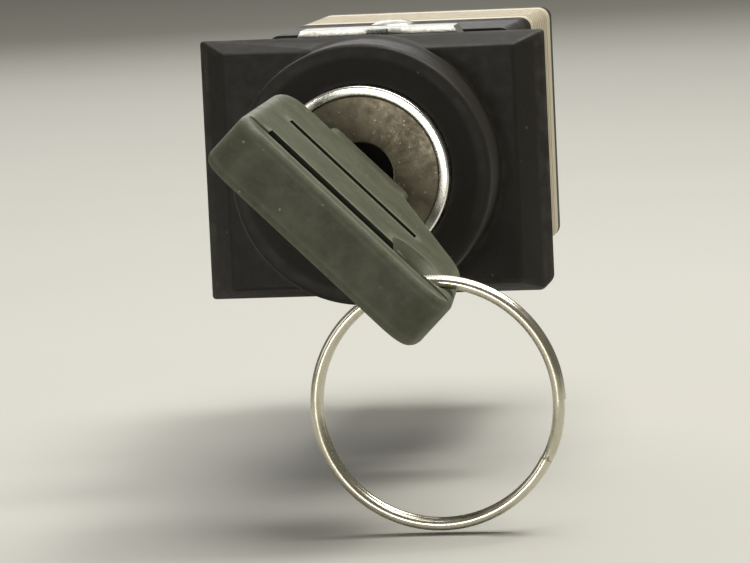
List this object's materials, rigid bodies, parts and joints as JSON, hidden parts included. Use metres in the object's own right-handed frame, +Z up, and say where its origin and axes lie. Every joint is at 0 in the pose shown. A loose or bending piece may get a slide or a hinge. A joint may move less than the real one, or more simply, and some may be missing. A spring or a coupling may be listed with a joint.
{
  "type": "selector key switch",
  "caption": "Panel-mounted selector switch turned by a removable key, with a rectangular bezel, lock cylinder, key ring and a rear contact block.",
  "frame": {"origin": "centre of the round panel hole, on the front face of the panel that the bezel sits on", "axes": "+Z up, +X to the right seen from the front, and the bezel and key face -Y; the lock axis is Y"},
  "size_m": [0.0276, 0.071, 0.0303],
  "materials": {
    "black_plastic": "fine-grained black moulded plastic, slightly dusty",
    "rubber": "matt black rubber",
    "spring_steel": "drawn spring steel",
    "zinc_steel": "zinc plated",
    "polished_nickel": "polished nickel plate with light wear",
    "plug_metal": "dull warm grey metal, faintly turned",
    "brass": "stamped brass",
    "silver": "silver contact rivet",
    "cream_plastic": "cream moulded plastic",
    "red_plastic": "red-brown moulded plastic",
    "bow_plastic": "worn grey-green moulded plastic with polished edges"
  },
  "bodies": {
    "housing": {"bezel_case": "black_plastic", "panel_gasket": "rubber", "lock_washer": "spring_steel", "mounting_nut": "zinc_steel", "lock_cylinder": "polished_nickel", "block_adapter": "black_plastic", "clamp_screw": "zinc_steel", "detent_ball": "zinc_steel", "detent_spring": "spring_steel", "contact_case": "cream_plastic", "block_cover": "black_plastic", "block_screw_1": "zinc_steel", "block_screw_2": "zinc_steel", "fixed_tip_no_1": "silver", "fixed_tip_no_2": "silver", "terminal_no_1": "brass", "terminal_no_2": "brass", "return_spring_no": "spring_steel", "fixed_tip_nc_1": "silver", "fixed_tip_nc_2": "silver", "terminal_nc_1": "brass", "terminal_nc_2": "brass", "return_spring_nc": "spring_steel"},
    "barrel": {"lock_plug": "plug_metal", "wafer_1": "brass", "wafer_2": "brass", "wafer_3": "brass", "wafer_4": "brass", "wafer_spring_1": "spring_steel", "wafer_spring_2": "spring_steel", "wafer_spring_3": "spring_steel", "wafer_spring_4": "spring_steel", "plug_clip": "spring_steel", "drive_cam": "red_plastic", "cam_screw": "zinc_steel"},
    "key": {"key_blade": "polished_nickel", "key_bow": "bow_plastic"},
    "ring": {"key_ring": "polished_nickel"},
    "pusher_no": {"plunger_no": "red_plastic", "bridge_no": "brass", "bridge_spring_no": "spring_steel", "moving_tip_no_1": "silver", "moving_tip_no_2": "silver"},
    "pusher_nc": {"plunger_nc": "red_plastic", "bridge_nc": "brass", "bridge_spring_nc": "spring_steel", "moving_tip_nc_1": "silver", "moving_tip_nc_2": "silver"}
  },
  "joints": [
    {"name": "key_turn", "type": "hinge", "parent": "housing", "child": "barrel", "pos_m": [0, 0, 0], "axis": [0, 1, 0], "range_deg": [0, 90]},
    {"name": "key_withdraw", "type": "slide", "parent": "barrel", "child": "key", "axis": [0, -1, 0], "range_m": [0, 0.022]},
    {"name": "ring_swing", "type": "hinge", "parent": "key", "child": "ring", "pos_m": [0.00535, -0.0282, -0.00535], "axis": [0.7071, 0, 0.7071], "range_deg": [-75, 85]},
    {"name": "plunger_no_travel", "type": "slide", "parent": "housing", "child": "pusher_no", "axis": [0, 1, 0], "range_m": [0, 0.00182], "deforming": ["return_spring_no"]},
    {"name": "plunger_nc_travel", "type": "slide", "parent": "housing", "child": "pusher_nc", "axis": [0, 1, 0], "range_m": [0, 0.00182], "deforming": ["return_spring_nc"]}
  ],
  "couplings": [
    {"joint": "plunger_no_travel", "follows": "key_turn", "m_per_rad": 0.0011459},
    {"joint": "plunger_nc_travel", "follows": "key_turn", "m_per_rad": 0.0011459}
  ]
}
